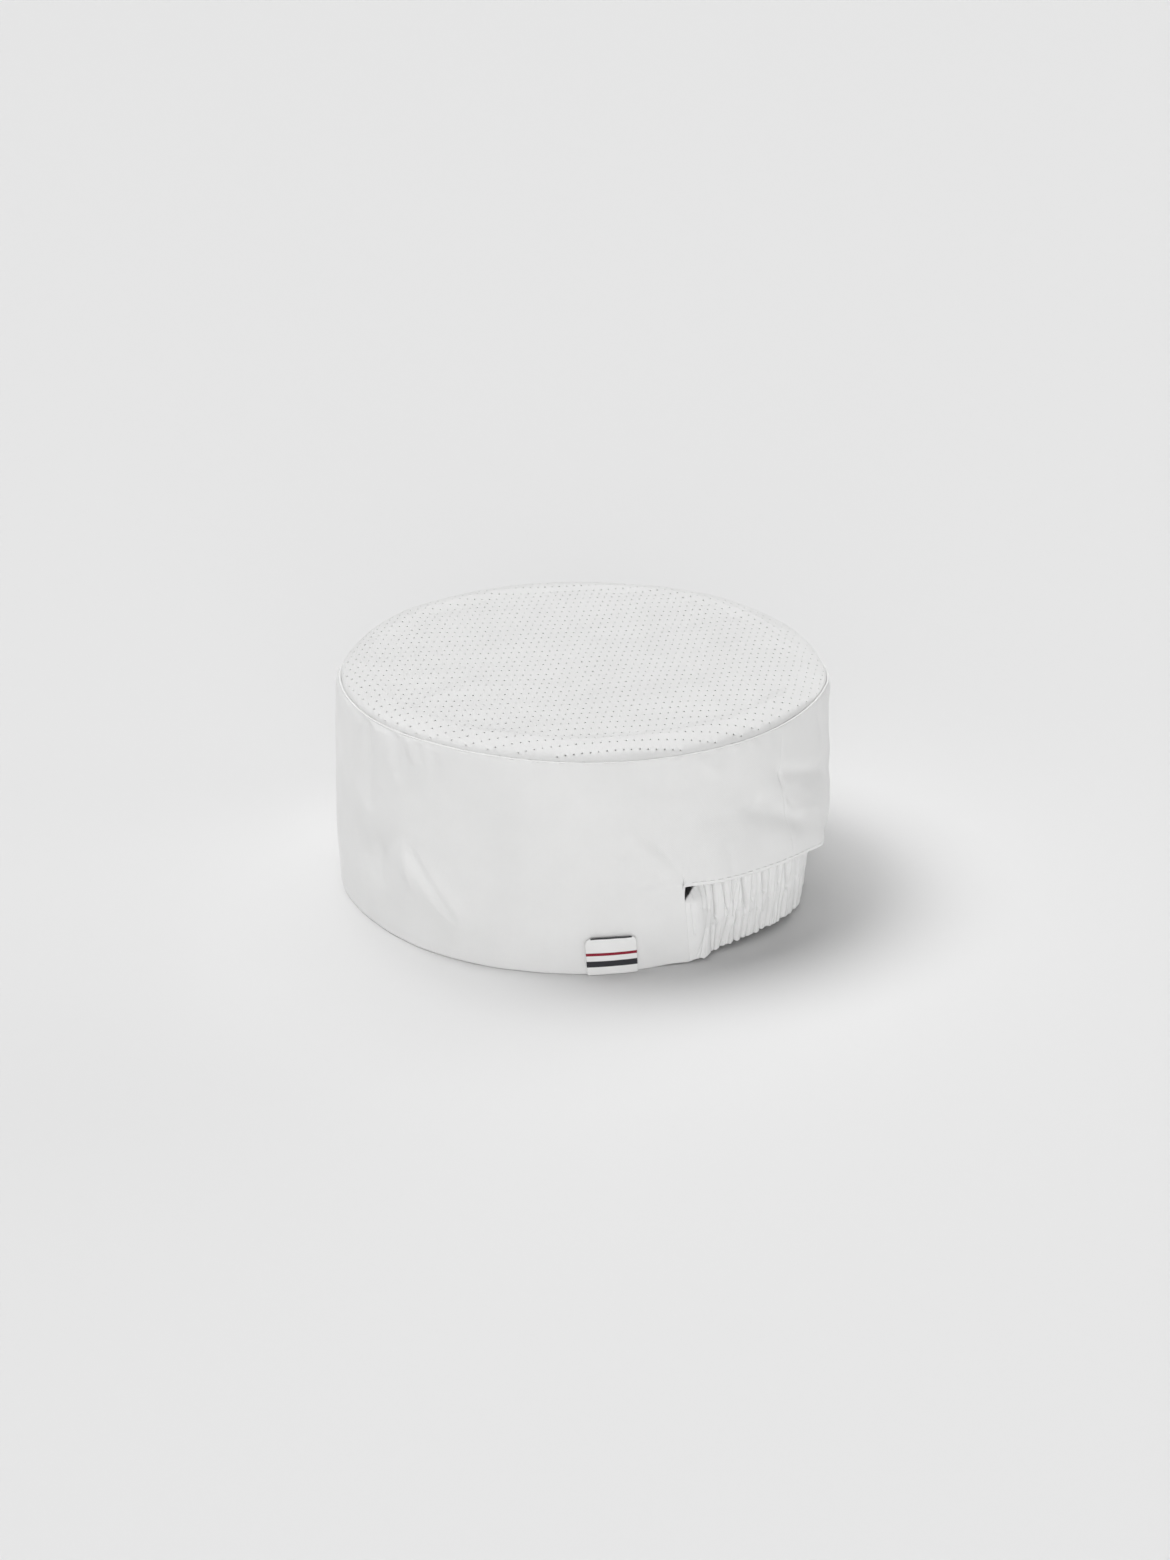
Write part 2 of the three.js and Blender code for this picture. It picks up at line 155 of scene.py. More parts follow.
# Smooth curve through a table's rows: cubic Hermite, with each slope taken across the row's
# neighbours.
def tableValue(table, by, name, x):
    knots = np.array(table[by], float)
    values = np.array(table[name], float)
    last = len(knots) - 1
    before = np.maximum(np.arange(last + 1) - 1, 0)
    after = np.minimum(np.arange(last + 1) + 1, last)
    slope = (values[after] - values[before]) / (knots[after] - knots[before])
    at = np.clip(x, knots[0], knots[-1])
    row = np.clip(np.searchsorted(knots, at, side="right") - 1, 0, last - 1)
    width = knots[row + 1] - knots[row]
    t = (at - knots[row]) / width
    eased = t * t * (3 - 2 * t)
    bend = slope[row] * (1 - t) - slope[row + 1] * t
    return values[row] + (values[row + 1] - values[row]) * eased + bend * width * t * (1 - t)


# Smooth step: 0 below low, 1 above high, 3t^2 - 2t^3 between.
def smoothStep(x, low, high):
    t = np.clip((x - low) / (high - low), 0, 1)
    return t * t * (3 - 2 * t)


# An angle brought into -180 to 180.
def wrapped(angle):
    return angle - 360 * np.round(angle / 360)


# A point on the cap: angle and radius round the axis, and height, joined on the last axis.
def onCap(angle, radius, height):
    turn = np.radians(angle)
    parts = np.broadcast_arrays(radius * np.sin(turn), radius * np.cos(turn) + axisY, height)
    return np.stack(parts, axis=-1)


# Smooth seeded noise: a sum of sine waves in every direction of (x, y), about 1 at most, with
# wavelengths from size down to size / 3.
def waves(x, y, size, seed, count=9):
    random = np.random.default_rng(seed)
    total = 0.0
    for _ in range(count):
        turn, phase = random.uniform(0, 2 * math.pi, 2)
        step = 2 * math.pi / (size * random.uniform(0.33, 1))
        total = total + np.sin((x * math.cos(turn) + y * math.sin(turn)) * step + phase)
    return total / math.sqrt(count * 2)


# Sum over fold lines of out * 2^-(distance / width)^2, in the plane of arc length and height.
def foldSum(folds, angle, height):
    total = 0.0
    for fromAngle, fromHeight, toAngle, toHeight, width, out in folds:
        alongX = (toAngle - fromAngle) * arcPerDegree
        alongY = toHeight - fromHeight
        x = wrapped(angle - fromAngle) * arcPerDegree
        y = height - fromHeight
        share = np.clip((x * alongX + y * alongY) / (alongX**2 + alongY**2), 0, 1)
        away = np.hypot(x - share * alongX, y - share * alongY) / width
        total = total + out * 2.0 ** -(away**2)
    return total


def seamAt(angle):
    return seamHeight + tableValue(seamRound, "angle", "rise", wrapped(angle))


# Share of the rolled edge passed at a height: 0 below the roll, 1 at the seam.
def rollShare(angle, height):
    return np.clip((height - seamAt(angle) + rollDepth) / rollDepth, 0, 1)


# The band's outer radius: profile, less the elastic's pull, plus the hem's flare, less the
# rolled edge (a quarter ellipse), plus the folds.
def bandRadius(angle, height):
    at = wrapped(angle)
    depth, full, gone = (tableValue(drawIn, "angle", k, at) for k in ("depth", "full", "gone"))
    drawn = depth * (1 - smoothStep(height, full, gone))
    flare = tableValue(flareRound, "angle", "out", at) * tableValue(
        flareDown, "height", "share", height
    )
    rolled = rollShare(at, height)
    roll = tableValue(seamRound, "angle", "rollIn", at) * (1 - np.sqrt(1 - rolled**2))
    folds = foldSum(bandFolds, at, height) * (1 - rolled)
    return tableValue(bandProfile, "height", "radius", height) - drawn + flare - roll + folds


# How far the notch's near side has run inwards at a height, in degrees: notchLean * (1 - height /
# hemHeight) above 0, with its kink at the hem rounded over 5 mm each way as (below + 5)^2 / 20.
def leanAt(height):
    below = hemHeight - height
    eased = np.where(below > 5, below, np.clip(below + 5, 0, 10) ** 2 / 20)
    return notchLean / hemHeight * eased


# The solid model's inner radius, which seats the crown and the strip.
def seatRadius(angle, height):
    return bandRadius(angle, height) - 1.6 * (1 - 0.4 * rollShare(angle, height))


# Turns arrays of points (mm), quads and flat cloth coordinates (mm) into a mesh object in metres.
def makeObject(name, points, faces, flat, wrapLength=None):
    mesh = bpy.data.meshes.new(name)
    loops = np.concatenate([part.ravel() for part in faces])
    sizes = np.concatenate([np.full(len(part), part.shape[1]) for part in faces])
    starts = np.concatenate([[0], np.cumsum(sizes)[:-1]])
    mesh.vertices.add(len(points))
    mesh.vertices.foreach_set("co", (points * toMetres).astype(np.float32).ravel())
    mesh.loops.add(len(loops))
    mesh.loops.foreach_set("vertex_index", loops.astype(np.int32))
    mesh.polygons.add(len(sizes))
    mesh.polygons.foreach_set("loop_start", starts.astype(np.int32))
    mesh.polygons.foreach_set("use_smooth", np.ones(len(sizes), bool))
    mesh.update(calc_edges=True)
    uv = flat[loops] * toMetres
    if wrapLength:
        # A face across the join of a ring has its low coordinates moved on by one turn.
        lap = wrapLength * toMetres
        owner = np.repeat(np.arange(len(sizes)), sizes)
        low = np.minimum.reduceat(uv[:, 0], starts)[owner]
        high = np.maximum.reduceat(uv[:, 0], starts)[owner]
        uv[(high - low > lap / 2) & (uv[:, 0] < (high + low) / 2), 0] += lap
    layer = mesh.uv_layers.new(name="flatCloth")
    layer.uv.foreach_set("vector", uv.astype(np.float32).ravel())
    mesh.validate()
    piece = bpy.data.objects.new(name, mesh)
    bpy.context.scene.collection.objects.link(piece)
    return piece


# A closed cloth wall from two grids of points, outer and inner, with rounded edges. Each edge is
# a half circle: (outer + inner) / 2 + (outer - inner) / 2 * cos + off-edge direction * sin.
def makeWall(name, outer, inner, flat, ring, wrapLength=None, edgeSteps=5):
    columns, rows = outer.shape[:2]
    grid = np.arange(columns * rows).reshape(columns, rows)
    left = grid if ring else grid[:-1]
    right = np.roll(grid, -1, axis=0) if ring else grid[1:]
    cells = (left[:, :-1], left[:, 1:], right[:, 1:], right[:, :-1])
    outerQuads = np.stack(cells, axis=-1).reshape(-1, 4)
    innerQuads = outerQuads[:, ::-1] + columns * rows
    a, b = outer.reshape(-1, 3), inner.reshape(-1, 3)
    points, faces, flats = [a, b], [outerQuads, innerQuads], [flat.reshape(-1, 2)] * 2
    if ring:
        edges = [grid[:, 0], grid[::-1, -1]]
    else:
        edges = [
            np.concatenate([grid[:-1, 0], grid[-1, :-1], grid[:0:-1, -1], grid[0, :0:-1]])
        ]
    count = 2 * columns * rows
    for edge in edges:
        along = np.roll(a[edge], -1, axis=0) - np.roll(a[edge], 1, axis=0)
        across = b[edge] - a[edge]
        off = np.cross(along, across)
        off /= np.linalg.norm(off, axis=1, keepdims=True)
        half = np.linalg.norm(across, axis=1, keepdims=True) / 2
        rings = [edge]
        for step in range(1, edgeSteps):
            turn = math.pi * step / edgeSteps
            middle = a[edge] + across / 2
            points.append(middle - across / 2 * math.cos(turn) + off * half * math.sin(turn))
            flats.append(flat.reshape(-1, 2)[edge])
            rings.append(np.arange(len(edge)) + count)
            count += len(edge)
        rings.append(edge + columns * rows)
        for near, far in zip(rings[:-1], rings[1:]):
            faces.append(np.stack([near, np.roll(near, -1), np.roll(far, -1), far], axis=-1))
    return makeObject(
        name, np.concatenate(points), faces, np.concatenate(flats), wrapLength
    )


def addNodeGroup(name, inputs, outputs):
    group = bpy.data.node_groups.new(name, "ShaderNodeTree")
    for label, kind, value in inputs:
        socket = group.interface.new_socket(label, in_out="INPUT", socket_type=kind)
        if value is not None:
            socket.default_value = value
    for label, kind in outputs:
        group.interface.new_socket(label, in_out="OUTPUT", socket_type=kind)
    return group, group.nodes.new("NodeGroupInput"), group.nodes.new("NodeGroupOutput")


def mathNode(tree, operation, first, second=None, third=None):
    node = tree.nodes.new("ShaderNodeMath")
    node.operation = operation
    for slot, value in enumerate((first, second, third)):
        if value is None:
            continue
        if isinstance(value, (int, float)):
            node.inputs[slot].default_value = value
        else:
            tree.links.new(value, node.inputs[slot])
    return node.outputs[0]


# Plain weave: each thread is a row of half waves, |sin|, that swaps over and under with the
# crossing thread like a chequerboard. Slubs make some threads thicker.
def weaveGroup():
    group, into, out = addNodeGroup(
        "plainWeave",
        [("Thread", "NodeSocketFloat", 0.00042), ("Slub", "NodeSocketFloat", 0.35)],
        [("Height", "NodeSocketFloat")],
    )
    links = group.links
    flat = group.nodes.new("ShaderNodeUVMap")
    flat.uv_map = "flatCloth"
    split = group.nodes.new("ShaderNodeSeparateXYZ")
    links.new(flat.outputs[0], split.inputs[0])
    turnX = mathNode(group, "DIVIDE", split.outputs[0], into.outputs["Thread"])
    turnY = mathNode(group, "DIVIDE", split.outputs[1], into.outputs["Thread"])
    sinX = mathNode(group, "SINE", mathNode(group, "MULTIPLY", turnX, math.pi))
    sinY = mathNode(group, "SINE", mathNode(group, "MULTIPLY", turnY, math.pi))
    crossing = mathNode(group, "MULTIPLY", sinX, sinY)
    threads = mathNode(
        group, "MULTIPLY", mathNode(group, "ABSOLUTE", sinX), mathNode(group, "ABSOLUTE", sinY)
    )
    height = mathNode(group, "MULTIPLY_ADD", crossing, 0.35, threads)
    stretch = group.nodes.new("ShaderNodeMapping")
    stretch.inputs["Scale"].default_value = (90, 1500, 1)
    links.new(flat.outputs[0], stretch.inputs["Vector"])
    noise = group.nodes.new("ShaderNodeTexNoise")
    noise.inputs["Scale"].default_value = 1
    noise.inputs["Detail"].default_value = 2
    links.new(stretch.outputs[0], noise.inputs["Vector"])
    slubs = mathNode(group, "SUBTRACT", noise.outputs[0], 0.5)
    links.new(
        mathNode(group, "MULTIPLY_ADD", slubs, into.outputs["Slub"], height),
        out.inputs["Height"],
    )
    return group


# Knit: wales of small loops, cos across and a slanted |cos| down each wale.
def knitGroup():
    group, into, out = addNodeGroup(
        "fineKnit",
        [("Wale", "NodeSocketFloat", 0.0007)],
        [("Height", "NodeSocketFloat")],
    )
    links = group.links
    flat = group.nodes.new("ShaderNodeUVMap")
    flat.uv_map = "flatCloth"
    split = group.nodes.new("ShaderNodeSeparateXYZ")
    links.new(flat.outputs[0], split.inputs[0])
    across = mathNode(
        group,
        "MULTIPLY",
        mathNode(group, "DIVIDE", split.outputs[0], into.outputs["Wale"]),
        2 * math.pi,
    )
    down = mathNode(
        group,
        "MULTIPLY",
        mathNode(group, "DIVIDE", split.outputs[1], into.outputs["Wale"]),
        2 * math.pi,
    )
    wale = mathNode(group, "COSINE", across)
    slant = mathNode(group, "MULTIPLY_ADD", mathNode(group, "ABSOLUTE", wale), 1.6, down)
    loops = mathNode(group, "ABSOLUTE", mathNode(group, "COSINE", slant))
    links.new(
        mathNode(group, "MULTIPLY_ADD", loops, 0.6, mathNode(group, "MULTIPLY", wale, 0.4)),
        out.inputs["Height"],
    )
    return group


# A soft mottle of the colour: two sizes of noise over Object coordinates, about 0.5 in the middle.
def mottleGroup():
    group, into, out = addNodeGroup(
        "softMottle", [("Scale", "NodeSocketFloat", 60.0)], [("Mottle", "NodeSocketFloat")]
    )
    place = group.nodes.new("ShaderNodeTexCoord")
    noise = group.nodes.new("ShaderNodeTexNoise")
    noise.inputs["Detail"].default_value = 3
    group.links.new(place.outputs["Object"], noise.inputs["Vector"])
    group.links.new(into.outputs["Scale"], noise.inputs["Scale"])
    group.links.new(noise.outputs[0], out.inputs["Mottle"])
    return group


# A stripe across the cloth, used for the label's woven stripes and for its painted shade line: 1
# where the cloth's second coordinate is within halfWidth of centre, with a soft edge.
def stripeGroup():
    group, into, out = addNodeGroup(
        "printAndShadeStripe",
        [("Centre", "NodeSocketFloat", 0.0), ("Half Width", "NodeSocketFloat", 0.001)],
        [("Stripe", "NodeSocketFloat")],
    )
    flat = group.nodes.new("ShaderNodeUVMap")
    flat.uv_map = "flatCloth"
    split = group.nodes.new("ShaderNodeSeparateXYZ")
    group.links.new(flat.outputs[0], split.inputs[0])
    away = mathNode(
        group,
        "ABSOLUTE",
        mathNode(group, "SUBTRACT", split.outputs[1], into.outputs["Centre"]),
    )
    soft = mathNode(
        group, "DIVIDE", mathNode(group, "SUBTRACT", into.outputs["Half Width"], away), 0.00012
    )
    soft = mathNode(group, "ADD", soft, 0.5)
    clamped = mathNode(group, "MINIMUM", mathNode(group, "MAXIMUM", soft, 0.0), 1.0)
    group.links.new(clamped, out.inputs["Stripe"])
    return group


groups = {
    "weave": weaveGroup(),
    "knit": knitGroup(),
    "mottle": mottleGroup(),
    "stripe": stripeGroup(),
}


# Cloth: a pale Principled surface with sheen, colour between two shades by mottle, and a bump
# from the named group.
def clothMaterial(name, look):
    material = bpy.data.materials.new(name)
    material.use_nodes = True
    tree = material.node_tree
    surface = tree.nodes["Principled BSDF"]
    surface.inputs["Roughness"].default_value = look["roughness"]
    surface.inputs["Sheen Weight"].default_value = look["sheen"]
    surface.inputs["Sheen Roughness"].default_value = 0.5
    surface.inputs["Specular IOR Level"].default_value = 0.25
    mottle = tree.nodes.new("ShaderNodeGroup")
    mottle.node_tree = groups["mottle"]
    mottle.inputs["Scale"].default_value = look["mottleScale"]
    shade = tree.nodes.new("ShaderNodeMix")
    shade.data_type = "RGBA"
    shade.inputs["A"].default_value = (*look["darker"], 1)
    shade.inputs["B"].default_value = (*look["lighter"], 1)
    tree.links.new(mottle.outputs["Mottle"], shade.inputs["Factor"])
    colour = shade.outputs["Result"]
    for centre, halfWidth, dye in look.get("stripes", ()):
        stripe = tree.nodes.new("ShaderNodeGroup")
        stripe.node_tree = groups["stripe"]
        stripe.inputs["Centre"].default_value = centre
        stripe.inputs["Half Width"].default_value = halfWidth
        over = tree.nodes.new("ShaderNodeMix")
        over.data_type = "RGBA"
        over.inputs["B"].default_value = (*dye, 1)
        tree.links.new(stripe.outputs["Stripe"], over.inputs["Factor"])
        tree.links.new(colour, over.inputs["A"])
        colour = over.outputs["Result"]
    tree.links.new(colour, surface.inputs["Base Color"])
    texture = tree.nodes.new("ShaderNodeGroup")
    texture.node_tree = groups[look["texture"]]
    texture.inputs[0].default_value = look["pitch"]
    bump = tree.nodes.new("ShaderNodeBump")
    bump.inputs["Strength"].default_value = look["bump"]
    bump.inputs["Distance"].default_value = look["pitch"] * 0.3
    tree.links.new(texture.outputs["Height"], bump.inputs["Height"])
    tree.links.new(bump.outputs["Normal"], surface.inputs["Normal"])
    return material


# Gives a finished piece its material, CAD node and slot.
def dress(piece, material, node):
    piece.data.materials.append(material)
    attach(piece, "root")
    if node:
        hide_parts(node)


bandLook = {
    "wall": 1.2,
    "hemWall": 1.6,
    "hemDepth": 9.0,
    "columns": 570,
    "outerRows": 82,
    "notchWall": 0.5,
    # The wall next to the notch is notchWall up to the first height and angle, and full past
    # the second.
    "besideAngles": (29, 34),
    "besideHeights": (28, 34),
    "rimThinning": 0.22,
    "topInset": 0.45,
    "hemWaves": 0.22,
    "hemWaveSize": 11.0,
    "seamGroove": 0.17,
    "seamGrooveWidth": 0.45,
    "seamSway": 0.35,
    "seamSwayLength": 9.0,
    "stitchSpacing": 12.0,
    "stitchPhase": 75.0,
    "puckers": 0.42,
    "puckerSize": 9.0,
    "puckerDepth": 5.0,
    "wrinkles": 0.26,
    "wrinkleSizes": (70.0, 26.0),
    "wrinkleShares": (0.7, 0.3),
    "material": {
        "darker": (0.76, 0.76, 0.755),
        "lighter": (0.84, 0.84, 0.835),
        "mottleScale": 45,
        "roughness": 0.85,
        "sheen": 0.25,
        "texture": "weave",
        "pitch": 0.00042,
        "bump": 0.35,
    },
}


# Fine relief over the band: the back seam's groove, deeper wherever its stitches catch, puckers
# below the crown seam, soft wrinkles everywhere and the finer creases.
def bandRelief(angle, height):
    at = wrapped(angle)
    arc = at * arcPerDegree
    below = seamAt(at) - height
    seamLine = arc - bandLook["seamSway"] * np.sin(height / bandLook["seamSwayLength"])
    stitch = (height - bandLook["stitchPhase"]) * 2 * math.pi / bandLook["stitchSpacing"]
    caught = smoothStep(np.cos(stitch), -0.5, 0.7)
    groove = -bandLook["seamGroove"] * (0.3 + 0.7 * caught) * smoothStep(below, 0.5, 4)
    groove = groove * np.exp(-((seamLine / bandLook["seamGrooveWidth"]) ** 2))
    pucker = waves(arc, height * 0.25, bandLook["puckerSize"], 11)
    pucker = pucker * np.exp(-((below / bandLook["puckerDepth"]) ** 2))
    pucker = pucker * smoothStep(below, 0.2, 1.6) * bandLook["puckers"]
    broadSize, smallSize = bandLook["wrinkleSizes"]
    broadShare, smallShare = bandLook["wrinkleShares"]
    soft = waves(arc, height, broadSize, 5) * broadShare
    soft = soft + waves(arc, height * 0.8, smallSize, 7) * smallShare
    creases = foldSum(bandCreases, at, height) * smoothStep(below, 0.3, 3)
    return (
        groove + pucker + soft * bandLook["wrinkles"] * smoothStep(below, 0.5, 12) + creases
    )


# The band's lower edge: 0 all round, rising to the hem within the notch.
def lowerEdge(angle):
    inNotch = 1 - smoothStep(np.abs(wrapped(angle)), notchHalfAngle + 0.8, notchHalfAngle + 1.4)
    return inNotch * hemHeight


# Columns spread round the ring, closer together where the density is higher.
def bandAngles(count):
    fine = np.linspace(-180, 180, 20001)
    density = 1 + 30 * np.exp(-(((np.abs(fine) - notchHalfAngle - 1.1) / 0.45) ** 2))
    density = density + 5 * np.exp(-((fine / 1.2) ** 2))
    passed = np.concatenate([[0], np.cumsum((density[1:] + density[:-1]) / 2)])
    return np.interp(np.linspace(0, passed[-1], count + 1)[:-1], passed, fine)


def makeBand():
    angle = bandAngles(bandLook["columns"])[:, None]
    share = np.linspace(0, 1, bandLook["outerRows"])
    share = (share + 0.35 * np.sin(math.pi * share) * share)[None, :]
    share = share / share.max()
    inNotch = lowerEdge(angle) / hemHeight
    bottom = lowerEdge(angle) + bandLook["hemWall"] / 2
    wavy = waves(angle * arcPerDegree, 0, bandLook["hemWaveSize"], 13)
    bottom = bottom + bandLook["hemWaves"] * wavy * inNotch
    top = seamAt(angle) - bandLook["topInset"]
    height = bottom + (top - bottom) * share
    fromEdge = np.abs(angle - notchHalfAngle) / leanSpread
    angle = angle - leanAt(height) * np.maximum(1 - fromEdge, 0)
    radius = bandRadius(angle, height) + bandRelief(angle, height)
    above = height - bottom
    wall = bandLook["wall"] + (bandLook["hemWall"] - bandLook["wall"]) * (
        1 - smoothStep(above, bandLook["hemDepth"] - 0.7, bandLook["hemDepth"])
    )
    # The band thins where it is sewn to the strip beside the notch.
    beside = 1 - smoothStep(np.abs(angle), *bandLook["besideAngles"])
    beside = beside * (1 - smoothStep(height, *bandLook["besideHeights"]))
    wall = wall - (wall - bandLook["notchWall"]) * beside
    wall = wall * (1 - bandLook["rimThinning"] * rollShare(angle, height))
    outer = onCap(angle, radius, height)
    inner = onCap(angle, radius - wall, height)
    arc = np.broadcast_to(angle * arcPerDegree, height.shape)
    flat = np.stack([arc, height], axis=-1)
    band = makeWall("sideBand", outer, inner, flat, True, 360 * arcPerDegree)
    dress(band, clothMaterial("bandCloth", bandLook["material"]), "side_band")
    return band


crownLook = {
    # The lattice: each cell's sizes, and how many rows and columns lie each way from the middle.
    "across": 2.95,
    "down": 4.75,
    "rowsOut": 23,
    "columnsOut": 37,
    "hole": 0.35,
    "holeVariation": 0.1,
    "holeRoughness": 0.08,
    "holeShift": 0.07,
    "holeStretch": 1.1,
    "turn": 8.0,
    "wall": 0.6,
    # Inside the band's outer face at the seam, and how far the edge rises above the seam where
    # its arc length is worked out.
    "rimInset": 0.54,
    "edgeRise": 4.7,
    # Holes end this far short of the seam, and the cells this far past it.
    "margin": 1.2,
    "crest": 0.35,
    "crestWidth": 2.4,
    "valley": 0.4,
    "valleyInset": 6.0,
    "valleyWidth": 4.0,
    "unevenness": 0.5,
    "unevenSize": 50.0,
    "bulge": 0.4,
    "allowance": 8.0,
    "flatRadius": 95.0,
    "crestInset": 10.0,
    "edgeFullness": 2.15,
    "height": 87.4,
    "wrinkles": 0.3,
    "wrinkleSize": 60.0,
    "material": {
        # Painted shade: both shades are set darker than the band's cloth, standing in for the
        # shade on the crown's rounded rim.
        "darker": (0.684, 0.684, 0.68),
        "lighter": (0.758, 0.758, 0.754),
        "mottleScale": 60,
        "roughness": 0.8,
        "sheen": 0.3,
        "texture": "knit",
        "pitch": 0.0007,
        "bump": 0.12,
    },
}


# The crown's top face: its height plus soft swells and slight wrinkles.
def crownTop(x, y):
    soft = waves(x, y, crownLook["wrinkleSize"], 21)
    height = crownLook["height"] + soft * crownLook["wrinkles"]
    for row in zip(*(crownSwells[name] for name in ("x", "y", "spread", "up"))):
        atX, atY, spread, up = row
        height = height + up * 2.0 ** -(((x - atX) ** 2 + (y - atY) ** 2) / spread**2)
    for fromX, fromY, toX, toY, width, up in crownCreases:
        alongX, alongY = toX - fromX, toY - fromY
        share = ((x - fromX) * alongX + (y - fromY) * alongY) / (alongX**2 + alongY**2)
        share = np.clip(share, 0, 1)
        away = np.hypot(x - fromX - share * alongX, y - fromY - share * alongY) / width
        height = height + up * 2.0 ** -(away**2)
    return height


# The crown's radius at the seam, touching the band's rolled edge.
def crownRim(angle):
    return bandRadius(angle, seamAt(angle)) - crownLook["rimInset"]


# Inward share along the crown's rounded edge for an arc length from its crest.
def edgeCurve():
    inward = np.linspace(1, 0, 400)
    across = crownLook["crestInset"] * (1 - inward)
    rise = np.sqrt(1 - (1 - inward) ** crownLook["edgeFullness"])
    step = np.hypot(np.diff(across), np.diff(crownLook["edgeRise"] * rise))
    return np.concatenate([[0], np.cumsum(step)]), inward


# A flat place on the cloth (polar about the axis) carried onto the crown: straight out to the
# crest, then by arc length over the rounded edge, then straight down inside the band. A low
# ridge follows the crest with a shallow valley inside it: each is size * exp(-(distance /
# width)^2). The edge bulges over the seam by 4 * bulge * rise * (1 - rise).
def ontoCrown(x, y):
    angle = np.degrees(np.arctan2(x, y))
    reach = np.hypot(x, y)
    rim = crownRim(angle)
    crest = rim - crownLook["crestInset"]
    passed, inward = edgeCurve()
    share = np.interp(reach - crest, passed, inward)
    radius = np.where(reach < crest, reach, crest + crownLook["crestInset"] * (1 - share))
    turn = np.radians(angle)
    top = crownTop(radius * np.sin(turn), radius * np.cos(turn))
    size = crownLook["unevenSize"]
    uneven = waves(radius * np.sin(turn), radius * np.cos(turn), size, 23)
    uneven = 1 + crownLook["unevenness"] * uneven
    fromCrest = (reach - crest) / crownLook["crestWidth"]
    fromValley = (reach - crest + crownLook["valleyInset"]) / crownLook["valleyWidth"]
    top = top + crownLook["crest"] * uneven * np.exp(-(fromCrest**2))
    top = top - crownLook["valley"] * uneven * np.exp(-(fromValley**2))
    rise = np.sqrt(1 - (1 - share) ** crownLook["edgeFullness"])
    radius = radius + crownLook["bulge"] * 4 * rise * (1 - rise)
    seam = seamAt(angle)
    height = seam + (top - seam) * rise - np.maximum(reach - crest - passed[-1], 0)
    return onCap(angle, radius, height)


# Where the seam comes on the flat cloth, for places (x, y): the radius at the seam, less the
# crest's inset, plus the arc length over the rounded edge.
def seamReach(places):
    angle = np.degrees(np.arctan2(places[..., 0], places[..., 1]))
    passed, _ = edgeCurve()
    return crownRim(angle) + (passed[-1] - crownLook["crestInset"])


